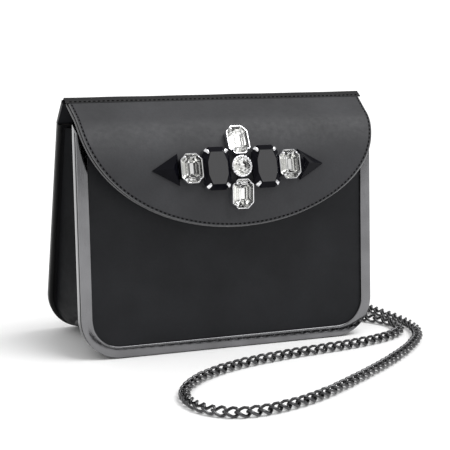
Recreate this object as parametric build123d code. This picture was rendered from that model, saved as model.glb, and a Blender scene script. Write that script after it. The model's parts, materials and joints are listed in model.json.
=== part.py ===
from build123d import *
import os
from math import atan2, cos, degrees, hypot, pi, radians, sin, tan

# Evening bag with a jewelled flap, a metal front frame and a chain strap, in millimetres.
# Origin: middle of the base on the floor. X right, Y to the back, Z up; the front faces -Y.

os.makedirs("parts", exist_ok=True)

# ---- driving dimensions -------------------------------------------------------------------
BAG_HALF_W = 100.0      # half width of the front frame
FRONT_Y = -43.0         # lower front edge of the frame
BACK_Y = 43.4           # lower edge of the back panel's outer face
FRONT_LEAN = 4.44       # the front leans back by this, degrees
BACK_LEAN = 14.83       # the back panel leans forward by this, degrees
BODY_GAP = 0.35         # free space between pieces that move apart
TOUCH = 0.05            # free space round a piece that is glued or clamped

# front frame and panel
FRAME_H = 141.0
FRAME_RISE = 5.5        # the frame's upper ends rise by this to their rear edge, under the flap
FRAME_R = 25.0
FRAME_BAND = 7.0
FRAME_DEPTH = 9.0
FRAME_T = 1.2
FRAME_EDGE = 0.5
PANEL_FIT = 0.2
LEATHER_T = 1.2
FRONT_BOARD_T = 1.8
LINING_T = 0.8

# back panel
BACK_OVERHANG = 2.3     # the back panel stands out this far past the front frame at each side
BACK_H = 147.5
BACK_R = 27.0
BINDING_W = 2.6
BINDING_PROUD = 0.4
BACK_LEATHER_T = 1.4
BACK_BOARD_T = 2.0
POCKET_HALF_W = 55.0
POCKET_LOW = 42.0
POCKET_HIGH = 112.0
POCKET_T = 0.9

# base strip and gussets
STRIP_T = 1.4
STRIP_INSET = 12.0
STRIP_H = 27.0
BASE_BOARD_T = 1.5
BASE_INSET = 1.0
GUSSET_DROP = 0.5       # the gussets end this far below the frame's height
GUSSET_T = 1.4
GUSSET_INSET = 2.6
FOLD_IN_LOW = 9.0
FOLD_IN_HIGH = 11.0

# ridge, yoke and flap
HINGE_Y = -10.5
HINGE_Z = 158.6
ROLL_R = 2.0
YOKE_T = 3.0
FLAP_LEATHER_T = 1.4
FLAP_BOARD_T = 0.6
FLAP_LINING_T = 1.2
FLAP_OVER = 1.8         # the flap's outer face passes this far over the hinge line
FLAP_HEADING = 31.0     # the flap starts down from level by this, degrees
FLAP_FLAT = 17.9
BEND_R = 34.0
BEND_TURN = 23.0
BELLY_R = 72.0
BELLY_TURN = 36.0
FLAP_LOW = 80.5
FLAP_SIDE_INSET = 0.2
FLAP_ROOT_OVERHANG = 1.4
FLAP_SHOULDER_Z = 150.0
BOARD_INSET = 4.0

# magnetic snap
SNAP_Z = 90.0
SNAP_R = 7.0
SNAP_T = 3.2
STUD_T = 5.6
SNAP_GAP = 0.4
RISER_R = 8.5
PLATE_R = 6.0
PLATE_T = 0.5
STEM_R = 2.0
PLATE_SINK = 1.2        # the socket's plate lies this far inside the front board

# jewels
JEWEL_S = 56.4          # distance of the round stone's middle down the flap from its start
SEAT = 0.15
CRYSTAL_W = 13.2
CRYSTAL_H = 17.6
CRYSTAL_CUT = 3.4
CUP_WALL = 0.6
CUP_H = 4.6
ROUND_R = 6.0
BLACK_W = 18.0
BLACK_H = 27.0
BLACK_CUT = 4.2
BLACK_DROP = 0.7
TABLE_WAIST = 0.36      # half sizes of the black stones' barrel-shaped table, as shares of the stone
TABLE_END = 0.24
TABLE_SHOULDER = 0.14
TABLE_TOP = 0.38
CLAW_TOP = 6.2
CLAW_LOW = 3.0
BLACK_CLAW_TOP = 5.4
TRAY_INSET = 1.0
TRAY_TOP = 1.2
JEWEL_GAP = 0.25
SPIKE_HALF_H = 10.0
SPIKE_LENGTH = 17.0
SPIKE_RISE = 6.5
SPIKE_PEAK = 5.0
SPIKE_SKIRT = 1.0
CLAW_W = 1.7
CLAW_T = 0.8
CLAW_REACH = 1.3

# strap fittings
RING_X = 62.0
TAB_HALF_W = 6.0
TAB_T = 3.0
TAB_LOW = 112.0
TAB_HIGH = 134.0
LOOP_R = 2.5
D_WIRE_R = 1.1
D_HALF_W = 8.0
D_DROP = 3.0
D_PROUD = 4.2
LINK_WIRE_R = 0.9
LINK_R = 4.4

# chain strap: outer size of the links, and its lie from the left ring round to the right ring
CHAIN_D = 6.2
LAID = CHAIN_D / 2
CHAIN_ROUTE = [
    (-62, 25.3, 92.4), (-61.2, 31.2, 73), (-62.6, 38.5, 51), (-64, 47, 31.5), (-62.5, 54, 17.8),
    (-55.3, 58.6, 8.4), (-44, 61, LAID), (-24, 62, LAID), (6, 64.5, LAID), (34, 68, LAID),
    (62, 69.5, LAID), (89, 68.5, LAID), (108, 61, LAID), (119, 44, LAID), (124.5, 22, LAID),
    (127, 0, LAID), (132, -20, LAID), (131.5, -42, LAID), (126.5, -60, LAID), (115, -77, LAID),
    (96, -96, LAID), (70, -117, LAID), (34, -142, LAID), (6, -160, LAID), (-26, -172, LAID),
    (-51, -173, LAID), (-66, -159, LAID), (-68.5, -138, LAID), (-60.5, -119, LAID), (-41, -99.5, LAID),
    (-8, -84, LAID), (34, -75.5, LAID), (70, -71, LAID), (92, -65.5, LAID), (107, -59.5, LAID),
    (118, -51, LAID), (122.5, -38.5, LAID), (121, -26, LAID), (113.8, -16.5, LAID),
    (105, -4.5, LAID), (104, 9, LAID), (107.5, 25, LAID), (107, 39, LAID), (100.3, 51.3, LAID),
    (90.3, 59.3, LAID), (78.3, 60.8, LAID), (67.3, 58.6, 8.4), (60.3, 54.5, 17.9),
    (58.8, 48.5, 31), (60.6, 40.3, 49), (61.8, 32, 71), (62, 25.3, 92.4),
]

# ---- worked-out places --------------------------------------------------------------------
BACK_HALF_W = BAG_HALF_W + BACK_OVERHANG
FLAP_HALF_W = BAG_HALF_W - FLAP_SIDE_INSET
FLAP_ROOT_HALF_W = BAG_HALF_W + FLAP_ROOT_OVERHANG
GUSSET_TOP = FRAME_H - GUSSET_DROP
FLAP_T = FLAP_LEATHER_T + FLAP_BOARD_T + FLAP_LINING_T
LIP_BACK = FRAME_T + TOUCH
PANEL_BACK = LIP_BACK + LEATHER_T + FRONT_BOARD_T + LINING_T
BACK_STACK = BACK_LEATHER_T + BACK_BOARD_T + LINING_T
FRONT_LIFT = FRAME_DEPTH * sin(radians(FRONT_LEAN))
BACK_LIFT = (BACK_STACK + BINDING_PROUD) * sin(radians(BACK_LEAN))
FRONT = Pos(0, FRONT_Y, FRONT_LIFT) * Rot(-FRONT_LEAN, 0, 0)
BACK = Pos(0, BACK_Y, BACK_LIFT) * Rot(BACK_LEAN, 0, 0)
X_REACH = BACK_HALF_W + 20
Z_REACH = HINGE_Z + 20


def front_y(z, depth):
    """Y at height z of the plane that lies depth behind the frame's front face."""
    lean = radians(FRONT_LEAN)
    return FRONT_Y + (z - FRONT_LIFT) * tan(lean) + depth / cos(lean)


def back_y(z, depth):
    """Y at height z of the plane that lies depth inside the back panel's outer face."""
    lean = radians(BACK_LEAN)
    return BACK_Y - (z - BACK_LIFT) * tan(lean) - depth / cos(lean)


def u_outline(half_w, height, radius, inset=0.0, top=0.0):
    """Upright rectangle with rounded lower corners, drawn in by inset at its sides and bottom."""
    w, r, low, high = half_w - inset, radius - inset, inset, height - top
    sides = Line((-w, high), (-w, low + r)) + Line((w, low + r), (w, high))
    corners = RadiusArc((-w, low + r), (-w + r, low), -r) + RadiusArc((w - r, low), (w, low + r), -r)
    ends = Line((-w + r, low), (w - r, low)) + Line((w, high), (-w, high))
    return make_face((sides + corners + ends).edges())


def plate(outline, y_near, y_far):
    """Outline in X and Z, made solid from y_near to y_far."""
    plane = Plane(origin=(0, y_far, 0), x_dir=(1, 0, 0), z_dir=(0, -1, 0))
    return extrude(plane * outline, amount=y_far - y_near)


def side_prism(points, half_w):
    """Polygon of (y, z) points, made solid across the bag from -half_w to half_w."""
    return extrude(Plane.YZ * make_face(Polyline(*points, close=True)), amount=half_w, both=True)


def between(depth_front, depth_back):
    """The wedge of space between a plane behind the frame's face and one inside the back panel."""
    low, high = -5.0, Z_REACH
    corners = [(front_y(low, depth_front), low), (back_y(low, depth_back), low),
               (back_y(high, depth_back), high), (front_y(high, depth_front), high)]
    return side_prism(corners, X_REACH)


# ---- front: frame, panel, board, lining ----------------------------------------------------
def front_frame():
    """Rail of L section round the panel; its upper ends slope up to the rear, clear of the flap."""
    top = FRAME_H + FRAME_RISE
    outer = u_outline(BAG_HALF_W, top, FRAME_R)
    lip = outer - u_outline(BAG_HALF_W, top + 1, FRAME_R, FRAME_BAND)
    wall = outer - u_outline(BAG_HALF_W, top + 1, FRAME_R, FRAME_T)
    frame = plate(lip, 0, FRAME_T) + plate(wall, 0, FRAME_DEPTH)
    rim = [e for e in frame.edges() if on_outer_rim(e)]
    slope = [(0, FRAME_H), (FRAME_DEPTH, top), (FRAME_DEPTH, 2 * top), (-FRAME_DEPTH, 2 * top),
             (-FRAME_DEPTH, FRAME_H - FRAME_RISE)]
    return FRONT * (fillet(rim, FRAME_EDGE) - side_prism(slope, BAG_HALF_W + 1))


def on_outer_rim(edge):
    """True on the frame's outer edge at its front face."""
    mid = edge @ 0.5
    outer = BAG_HALF_W - FRAME_BAND / 2
    beyond = abs(mid.X) > outer or mid.Z < FRAME_BAND / 2
    corner_x, corner_z = abs(mid.X) - (BAG_HALF_W - FRAME_R), FRAME_R - mid.Z
    rounded = corner_x > 0 and corner_z > 0 and hypot(corner_x, corner_z) > FRAME_R - FRAME_BAND / 2
    return abs(mid.Y) < 0.01 and mid.Z < FRAME_H + FRAME_RISE - 0.01 and (beyond or rounded)


def front_leather():
    """Sheet behind the frame's lip, turned over the top of the board."""
    near, far = LIP_BACK, LIP_BACK + LEATHER_T
    sheet = plate(u_outline(BAG_HALF_W, FRAME_H, FRAME_R, FRAME_T + PANEL_FIT), near, far)
    half = BAG_HALF_W - FRAME_T - PANEL_FIT
    turn = Pos(0, (far + PANEL_BACK) / 2, FRAME_H - LEATHER_T / 2)
    turn *= Box(2 * half, PANEL_BACK - far, LEATHER_T)
    return FRONT * (sheet + turn) - snap_bore(STEM_R + TOUCH)


def front_layer(y_near, y_far):
    outline = u_outline(BAG_HALF_W, FRAME_H, FRAME_R, FRAME_T + 2 * PANEL_FIT, LEATHER_T)
    return FRONT * plate(outline, y_near, y_far)


def front_board():
    near = LIP_BACK + LEATHER_T
    board = front_layer(near, near + FRONT_BOARD_T)
    return board - snap_bore(STEM_R + TOUCH) - snap_plate_space()


def front_lining():
    near = LIP_BACK + LEATHER_T + FRONT_BOARD_T
    return front_layer(near, near + LINING_T)


# ---- magnetic snap --------------------------------------------------------------------------
def flap_inner_y():
    """Y of the flap lining's inner face on its upright lower stretch."""
    return flap_spot(flap_length() - 1.0, FLAP_T)[0]


def y_cylinder(radius, y_near, y_far, z=SNAP_Z):
    return Pos(0, (y_near + y_far) / 2, z) * Rot(90, 0, 0) * Cylinder(radius, y_far - y_near)


def socket_face_y():
    return flap_inner_y() + STUD_T + SNAP_GAP


def snap_bore(radius):
    return y_cylinder(radius, FRONT_Y, 0)


def plate_y():
    """Y of the socket plate's near face, which the socket's stem reaches."""
    return front_y(SNAP_Z, LIP_BACK + LEATHER_T + FRONT_BOARD_T) - PLATE_SINK


def snap_plate_space():
    return y_cylinder(PLATE_R + TOUCH, plate_y() - TOUCH, plate_y() + PLATE_SINK + PLATE_T)


def snap_stud():
    face = flap_inner_y()
    stem = y_cylinder(STEM_R, face - FLAP_LINING_T, face)
    return y_cylinder(SNAP_R, face, face + STUD_T) + stem


def stud_plate():
    """Washer inside the flap, between its leather and its lining."""
    face = flap_inner_y() - FLAP_LINING_T
    return y_cylinder(PLATE_R, face - PLATE_T, face)


def snap_socket():
    face = socket_face_y()
    return y_cylinder(SNAP_R, face, face + SNAP_T) + y_cylinder(STEM_R, face + SNAP_T, plate_y())


def snap_riser():
    """Leather pad that fills the wedge between the socket and the front panel."""
    face = socket_face_y() + SNAP_T
    pad = y_cylinder(RISER_R, face, face + 20) & in_front_of_panel()
    return pad - snap_bore(STEM_R + TOUCH)


def in_front_of_panel():
    low, high = SNAP_Z - 2 * RISER_R, SNAP_Z + 2 * RISER_R
    corners = [(FRONT_Y - 20, low), (front_y(low, LIP_BACK), low),
               (front_y(high, LIP_BACK), high), (FRONT_Y - 20, high)]
    return side_prism(corners, 2 * RISER_R)


def socket_plate():
    return y_cylinder(PLATE_R, plate_y(), plate_y() + PLATE_T)


# ---- back panel -------------------------------------------------------------------------------
def back_binding():
    ring = u_outline(BACK_HALF_W, BACK_H, BACK_R) - u_outline(BACK_HALF_W, BACK_H + 1, BACK_R, BINDING_W)
    return BACK * plate(ring, -BACK_STACK - BINDING_PROUD, BINDING_PROUD)


def back_layer(y_near, y_far):
    return BACK * plate(u_outline(BACK_HALF_W, BACK_H, BACK_R, BINDING_W), y_near, y_far)


def inner_pocket():
    outline = Pos(0, (POCKET_LOW + POCKET_HIGH) / 2) * RectangleRounded(
        2 * POCKET_HALF_W, POCKET_HIGH - POCKET_LOW, 6)
    return BACK * plate(outline, -BACK_STACK - POCKET_T, -BACK_STACK)


def top_yoke():
    """Strip from the back panel's top edge forward and up to the ridge roll."""
    foot_out = (BACK * Pos(0, 0, BACK_H)).position
    foot_in = (BACK * Pos(0, -YOKE_T, BACK_H)).position
    along = Vector(0, HINGE_Y, HINGE_Z) - foot_out
    over = along.normalized().rotate(Axis.X, -90) * FLAP_OVER
    head_out = Vector(0, HINGE_Y, HINGE_Z) + over
    head_in = head_out - over.normalized() * YOKE_T
    corners = [(p.Y, p.Z) for p in (foot_out, head_out, head_in, foot_in)]
    return side_prism(corners, BACK_HALF_W) - ridge_cylinder(ROLL_R)


def ridge_cylinder(radius):
    return Pos(0, HINGE_Y, HINGE_Z) * Rot(0, 90, 0) * Cylinder(radius, 2 * BACK_HALF_W)


# ---- base and gussets ---------------------------------------------------------------------------
def base_leather():
    """Strip under the bag, turned up round the lower corners."""
    half_w, radius = BAG_HALF_W - STRIP_INSET, FRAME_R - STRIP_INSET
    strip = u_outline(half_w, STRIP_H, radius) - u_outline(half_w, STRIP_H + 1, radius, STRIP_T)
    band = plate(strip, FRONT_Y, BACK_Y)
    return band & between(FRAME_DEPTH + BODY_GAP, BACK_STACK + BINDING_PROUD)


def base_layer(z_low, thickness):
    half = BAG_HALF_W - FRAME_R - BASE_INSET
    slab = Pos(0, 0, z_low + thickness / 2) * Box(2 * half, 2 * BACK_Y, thickness)
    return slab & between(FRAME_DEPTH + BODY_GAP, BACK_STACK + BINDING_PROUD + TOUCH)


def gusset_outline(z, fold_in):
    """Folded strip seen from above at height z, on the left side of the bag."""
    near = front_y(z, FRAME_DEPTH + BODY_GAP)
    far = back_y(z, BACK_STACK + BINDING_PROUD)
    out = -(BAG_HALF_W - GUSSET_INSET)
    fold = (out + fold_in, (near + far) / 2)
    outer = [(out, near), fold, (out, far)]
    inner = [(x + GUSSET_T, y) for x, y in reversed(outer)]
    return Pos(0, 0, z) * make_face(Polyline(*outer, *inner, close=True))


def gusset_left():
    low = STRIP_H + BODY_GAP
    return loft([gusset_outline(low, FOLD_IN_LOW), gusset_outline(GUSSET_TOP, FOLD_IN_HIGH)], ruled=True)


# ---- flap ------------------------------------------------------------------------------------------
def flap_spot(s, depth):
    """Point (y, z) and heading at distance s down the flap's outer face, depth inside it."""
    heading = radians(FLAP_HEADING)
    y = HINGE_Y - FLAP_OVER * sin(heading) - flap_start() * cos(heading)
    z = HINGE_Z + FLAP_OVER * cos(heading) - flap_start() * sin(heading)
    for length, radius in flap_runs():
        run = min(s, length)
        turn = run / radius if radius else 0.0
        chord = 2 * radius * sin(turn / 2) if radius else run
        y -= chord * cos(heading + turn / 2)
        z -= chord * sin(heading + turn / 2)
        heading += turn
        s -= run
    return y + depth * sin(heading), z - depth * cos(heading), heading


def flap_start():
    """The flap's sheet starts this far from the hinge line, clear of the ridge roll."""
    return ROLL_R + BODY_GAP + TOUCH


def flap_runs():
    """Length and bend radius of each stretch of the flap's outer face, from the ridge down."""
    bend, belly = BEND_R * radians(BEND_TURN), BELLY_R * radians(BELLY_TURN)
    first, second, last = (radians(FLAP_HEADING + t) for t in (0, BEND_TURN, BEND_TURN + BELLY_TURN))
    drop = HINGE_Z + FLAP_OVER * cos(first) - (flap_start() + FLAP_FLAT) * sin(first)
    drop -= BEND_R * (cos(first) - cos(second)) + BELLY_R * (cos(second) - cos(last))
    return [(FLAP_FLAT, 0), (bend, BEND_R), (belly, BELLY_R), (drop - FLAP_LOW, 0)]


def flap_length():
    return sum(length for length, _ in flap_runs())


def flap_path(depth):
    """Edges of the flap's section, depth inside the outer face."""
    marks = [0.0]
    for length, _ in flap_runs():
        marks.append(marks[-1] + length)
    spots = [flap_spot(s, depth)[:2] for s in marks]
    first = Line(spots[0], spots[1])
    bend = RadiusArc(spots[1], spots[2], BEND_R - depth)
    belly = RadiusArc(spots[2], spots[3], BELLY_R - depth)
    return [first, bend, belly, Line(spots[3], spots[4])], spots[0], spots[4]


def flap_sheet(depth_out, depth_in, inset):
    """One layer of the flap: its section carried across the bag and cut to the D outline."""
    outer, outer_start, outer_end = flap_path(depth_out)
    inner, inner_start, inner_end = flap_path(depth_in)
    caps = [Line(outer_start, inner_start), Line(outer_end, inner_end)]
    section = make_face([e for part in outer + inner + caps for e in part.edges()])
    band = extrude(Plane.YZ * section, amount=X_REACH, both=True)
    return band & plate(flap_outline(inset), FRONT_Y - 60, FRONT_Y + 80)


def flap_outline(inset):
    """D shape: straight flared sides above the shoulder, half an ellipse below it."""
    half, root = FLAP_HALF_W - inset, FLAP_ROOT_HALF_W - inset
    low = Pos(0, FLAP_SHOULDER_Z) * Ellipse(half, FLAP_SHOULDER_Z - FLAP_LOW - inset)
    top = HINGE_Z + 2 * FLAP_OVER
    shoulders = [(-half, FLAP_SHOULDER_Z), (half, FLAP_SHOULDER_Z), (root, top), (-root, top)]
    return low + make_face(Polyline(*shoulders, close=True))


def flap_leather():
    return flap_sheet(0, FLAP_LEATHER_T, 0)


def flap_board():
    board = flap_sheet(FLAP_LEATHER_T, FLAP_LEATHER_T + FLAP_BOARD_T, BOARD_INSET)
    return board - snap_bore_in_flap(PLATE_R + TOUCH)


def flap_lining():
    lining = flap_sheet(FLAP_LEATHER_T + FLAP_BOARD_T, FLAP_T, 0)
    return lining - snap_bore_in_flap(STEM_R + TOUCH)


def snap_bore_in_flap(radius):
    return y_cylinder(radius, flap_inner_y() - FLAP_T, flap_inner_y() + 1)


# ---- jewels ----------------------------------------------------------------------------------------
def on_flap(x, s):
    """Seat for a jewel: X across, Y up the flap and Z out of the leather."""
    y, z, heading = flap_spot(s, 0)
    return Plane(origin=(x, y, z), x_dir=(1, 0, 0), z_dir=(0, -sin(heading), cos(heading)))


def octagon(width, height, cut, inset=0.0):
    w, h, c = width / 2 - inset, height / 2 - inset, max(cut - 0.6 * inset, 0.4)
    corners = [(w - c, -h), (w, -h + c), (w, h - c), (w - c, h),
               (-w + c, h), (-w, h - c), (-w, -h + c), (-w + c, -h)]
    return make_face(Polyline(*corners, close=True))


def stack(sections):
    """Solid through flat outlines at rising heights, with straight faces between them."""
    return loft([Pos(0, 0, z) * outline for z, outline in sections], ruled=True)


def crystal():
    """Step-cut octagon: keel, girdle, one crown step and a table."""
    levels = [(1.3, 4.6), (4.2, 0.0), (5.0, 0.0), (6.6, 1.2), (7.6, 2.6)]
    return stack([(z, octagon(CRYSTAL_W, CRYSTAL_H, CRYSTAL_CUT, inset)) for z, inset in levels])


def crystal_cup():
    """Metal cup under a crystal, open inside to the stone's shape, with four claws."""
    outer = octagon(CRYSTAL_W, CRYSTAL_H, CRYSTAL_CUT, -CUP_WALL)
    body = Pos(0, 0, SEAT) * extrude(outer, amount=CUP_H - SEAT)
    hollow = [(0.9, 4.8), (3.8, -TOUCH), (CUP_H + 1, -TOUCH)]
    body -= stack([(z, octagon(CRYSTAL_W, CRYSTAL_H, CRYSTAL_CUT, inset)) for z, inset in hollow])
    return body + corner_claws(CRYSTAL_W, CRYSTAL_H, CRYSTAL_CUT, CLAW_TOP, CLAW_LOW) - crystal()


def corner_claws(width, height, cut, top, low):
    """Four claws that stand on the corner facets of a stone and bend in over its crown."""
    claws = []
    for sx in (-1, 1):
        for sy in (-1, 1):
            turn = degrees(atan2(sy, sx))
            reach = hypot(width / 2 - cut / 2, height / 2 - cut / 2)
            reach *= cos(radians(turn) - atan2(sy * (height - cut), sx * (width - cut)))
            side = sx * sy * (height - width) / 2 * sin(radians(45))
            post = Pos(reach + CLAW_T / 2 - CLAW_REACH / 2, side, (low + top) / 2)
            claw = post * Box(CLAW_T + CLAW_REACH, CLAW_W, top - low)
            claws.append(Rot(0, 0, turn) * claw)
    return claws[0] + claws[1] + claws[2] + claws[3]


def black_stone():
    """Large octagon with a barrel-shaped eight-sided table."""
    lows = [(1.2, octagon(BLACK_W, BLACK_H, BLACK_CUT, 2.2)), (3.4, octagon(BLACK_W, BLACK_H, BLACK_CUT)),
            (4.2, octagon(BLACK_W, BLACK_H, BLACK_CUT))]
    waist, end = TABLE_WAIST * BLACK_W, TABLE_END * BLACK_W
    shoulder, top = TABLE_SHOULDER * BLACK_H, TABLE_TOP * BLACK_H
    barrel = [(end, -top), (waist, -shoulder), (waist, shoulder), (end, top),
              (-end, top), (-waist, shoulder), (-waist, -shoulder), (-end, -top)]
    return stack(lows + [(6.6, make_face(Polyline(*barrel, close=True)))])


def black_setting():
    """Thin metal tray under a black stone, with four corner claws."""
    tray = octagon(BLACK_W, BLACK_H, BLACK_CUT, TRAY_INSET)
    tray = Pos(0, 0, SEAT) * extrude(tray, amount=TRAY_TOP - SEAT)
    return tray + corner_claws(BLACK_W, BLACK_H, BLACK_CUT, BLACK_CLAW_TOP, SEAT) - black_stone()


def round_stone():
    levels = [(1.3, 1.2), (4.4, ROUND_R), (5.0, ROUND_R), (6.8, 0.6 * ROUND_R)]
    return stack([(z, RegularPolygon(r, 16)) for z, r in levels])


def round_setting():
    body = Pos(0, 0, (SEAT + 5.3) / 2) * Cylinder(ROUND_R + CUP_WALL, 5.3 - SEAT)
    hollow = [(0.9, 1.2), (4.0, ROUND_R + TOUCH), (6.0, ROUND_R + TOUCH)]
    return body - stack([(z, Circle(r)) for z, r in hollow])


def spike():
    """Three-sided pyramid on a low skirt, pointing along +X, its base edge at X = 0."""
    ground = [(0, -SPIKE_HALF_H), (SPIKE_LENGTH, 0), (0, SPIKE_HALF_H)]
    low = [Vector(x, y, SEAT) for x, y in ground]
    high = [Vector(x, y, SEAT + SPIKE_SKIRT) for x, y in ground]
    peak = Vector(SPIKE_PEAK, 0, SPIKE_RISE)
    faces = [polygon_face(low[::-1])]
    for i in range(3):
        j = (i + 1) % 3
        faces.append(polygon_face([low[i], low[j], high[j], high[i]]))
        faces.append(polygon_face([high[i], high[j], peak]))
    return Solid(Shell(faces))


def polygon_face(points):
    return Face(Wire.make_polygon(points, close=True))


def jewels():
    """Every stone and setting on its place, by node name."""
    up = ROUND_R + 2 * CUP_WALL + CRYSTAL_H / 2 + JEWEL_GAP
    black_x = CRYSTAL_W / 2 + CUP_WALL + BLACK_W / 2 + JEWEL_GAP
    side_x = black_x + BLACK_W / 2 + CUP_WALL + CRYSTAL_W / 2 + JEWEL_GAP
    spike_x = side_x + CRYSTAL_W / 2 + CUP_WALL + JEWEL_GAP
    pieces = {"stone_round": on_flap(0, JEWEL_S) * round_stone(),
              "setting_round": on_flap(0, JEWEL_S) * round_setting()}
    seats = {"top": (0, JEWEL_S - up), "bottom": (0, JEWEL_S + up),
             "left": (-side_x, JEWEL_S), "right": (side_x, JEWEL_S)}
    for side, (x, s) in seats.items():
        pieces["crystal_" + side] = on_flap(x, s) * crystal()
        pieces["crystal_setting_" + side] = on_flap(x, s) * crystal_cup()
    for side, sign in (("left", -1), ("right", 1)):
        seat = on_flap(sign * black_x, JEWEL_S + BLACK_DROP)
        pieces["black_stone_" + side] = seat * black_stone()
        pieces["black_setting_" + side] = seat * black_setting()
        point = on_flap(sign * spike_x, JEWEL_S) * Rot(0, 0, 90 - 90 * sign)
        pieces["spike_" + side] = point * spike()
    return pieces


# ---- strap fittings and chain -----------------------------------------------------------------------
def x_cylinder(radius, half_length, y, z):
    return Pos(0, y, z) * Rot(0, 90, 0) * Cylinder(radius, 2 * half_length)


def bar_z():
    return TAB_LOW - D_WIRE_R


def ring_tab(x):
    """Leather tab folded round the D-ring's bar and sewn to the back panel."""
    tab = Pos(0, TAB_T / 2, (TAB_LOW + TAB_HIGH) / 2) * Box(2 * TAB_HALF_W, TAB_T, TAB_HIGH - TAB_LOW)
    loop = x_cylinder(LOOP_R, TAB_HALF_W, D_PROUD, bar_z())
    return BACK * Pos(x, 0, 0) * (tab + loop - x_cylinder(D_WIRE_R + TOUCH, TAB_HALF_W + 1, D_PROUD, bar_z()))


def d_ring(x):
    """Round wire bent to a D: a straight bar above, a half circle hanging below."""
    ring = x_cylinder(D_WIRE_R, D_HALF_W, D_PROUD, bar_z())
    for side in (-D_HALF_W, D_HALF_W):
        ring += Pos(side, D_PROUD, bar_z()) * Sphere(D_WIRE_R)
        ring += Pos(side, D_PROUD, bar_z() - D_DROP / 2) * Cylinder(D_WIRE_R, D_DROP)
    arc = Rot(90, 0, 0) * Torus(D_HALF_W, D_WIRE_R)
    lower = Pos(0, 0, -D_HALF_W) * Box(4 * D_HALF_W, 4 * D_WIRE_R, 2 * D_HALF_W)
    ring += Pos(0, D_PROUD, bar_z() - D_DROP) * (arc & lower)
    return BACK * Pos(x, 0, 0) * ring


def end_link(x):
    """Round ring that joins the chain to the D-ring, hanging in it and clear of the leather."""
    slack = LINK_R - LINK_WIRE_R - D_WIRE_R - TOUCH
    step = slack * sin(radians(45))
    centre = Pos(x, D_PROUD + step, bar_z() - D_DROP - D_HALF_W - step)
    return BACK * centre * Rot(0, 90, 0) * Torus(LINK_R, LINK_WIRE_R)


def chain_radii():
    """Bend radius at each inner point of the route: 0.45 of the shorter run over tan of half the turn."""
    points = [Vector(*p) for p in CHAIN_ROUTE]
    radii = []
    for a, b, c in zip(points, points[1:], points[2:]):
        turn = (b - a).get_angle(c - b)
        radii.append(0.45 * min((b - a).length, (c - b).length) / tan(radians(turn / 2)))
    return radii


def chain_strap():
    radii = chain_radii()
    path = FilletPolyline(*CHAIN_ROUTE, radius=radii)
    tube = sweep(Plane(origin=path @ 0, z_dir=path % 0) * Circle(CHAIN_D / 2), path=path)
    print("chain radii", [round(r, 1) for r in radii])
    print("chain length", round(path.length, 1), "volume", round(tube.volume, 1),
          "section times length", round(pi * CHAIN_D ** 2 / 4 * path.length, 1))
    return tube


# ---- all nodes -----------------------------------------------------------------------------------------
def nodes():
    parts = {
        "front_frame": front_frame(), "front_leather": front_leather(), "front_board": front_board(),
        "front_lining": front_lining(), "snap_socket": snap_socket(), "snap_riser": snap_riser(),
        "socket_plate": socket_plate(),
        "back_binding": back_binding(),
        "back_leather": back_layer(-BACK_LEATHER_T, 0),
        "back_board": back_layer(-BACK_LEATHER_T - BACK_BOARD_T, -BACK_LEATHER_T),
        "back_lining": back_layer(-BACK_STACK, -BACK_LEATHER_T - BACK_BOARD_T),
        "inner_pocket": inner_pocket(), "top_yoke": top_yoke(), "ridge_roll": ridge_cylinder(ROLL_R),
        "base_leather": base_leather(),
        "base_board": base_layer(STRIP_T, BASE_BOARD_T),
        "base_lining": base_layer(STRIP_T + BASE_BOARD_T, LINING_T),
        "gusset_left": gusset_left(), "gusset_right": mirror(gusset_left(), Plane.YZ),
        "flap_leather": flap_leather(), "flap_board": flap_board(), "flap_lining": flap_lining(),
        "snap_stud": snap_stud(), "stud_plate": stud_plate(),
        "chain_strap": chain_strap(),
    }
    parts.update(jewels())
    for side, x in (("left", -RING_X), ("right", RING_X)):
        parts["ring_tab_" + side] = ring_tab(x)
        parts["d_ring_" + side] = d_ring(x)
        parts["end_link_" + side] = end_link(x)
    return parts


for name, shape in nodes().items():
    export_step(shape, "parts/" + name + ".step")
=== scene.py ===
import json
from math import cos, pi, radians, sin, sqrt, tan

import bmesh
import bpy
import numpy as np
from mathutils import Matrix, Vector


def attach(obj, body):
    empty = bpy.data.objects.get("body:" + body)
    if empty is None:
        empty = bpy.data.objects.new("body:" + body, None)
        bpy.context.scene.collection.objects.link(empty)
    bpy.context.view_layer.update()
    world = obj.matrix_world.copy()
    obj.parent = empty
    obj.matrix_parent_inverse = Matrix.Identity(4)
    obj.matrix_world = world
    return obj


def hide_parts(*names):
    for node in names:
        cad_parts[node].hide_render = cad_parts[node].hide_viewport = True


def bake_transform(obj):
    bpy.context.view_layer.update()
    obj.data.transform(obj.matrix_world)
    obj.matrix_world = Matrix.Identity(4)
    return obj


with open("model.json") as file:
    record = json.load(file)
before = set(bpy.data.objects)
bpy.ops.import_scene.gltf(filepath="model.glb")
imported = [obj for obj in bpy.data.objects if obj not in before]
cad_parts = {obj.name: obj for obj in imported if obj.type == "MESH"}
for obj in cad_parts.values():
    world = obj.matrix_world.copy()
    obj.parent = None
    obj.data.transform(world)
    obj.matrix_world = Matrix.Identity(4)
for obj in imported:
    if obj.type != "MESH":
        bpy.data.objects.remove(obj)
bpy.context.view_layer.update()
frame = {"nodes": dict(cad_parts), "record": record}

# Shapes below are worked out in millimetres in the bag's own frame: X right, Y back, Z up.
MM = 0.001

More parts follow.
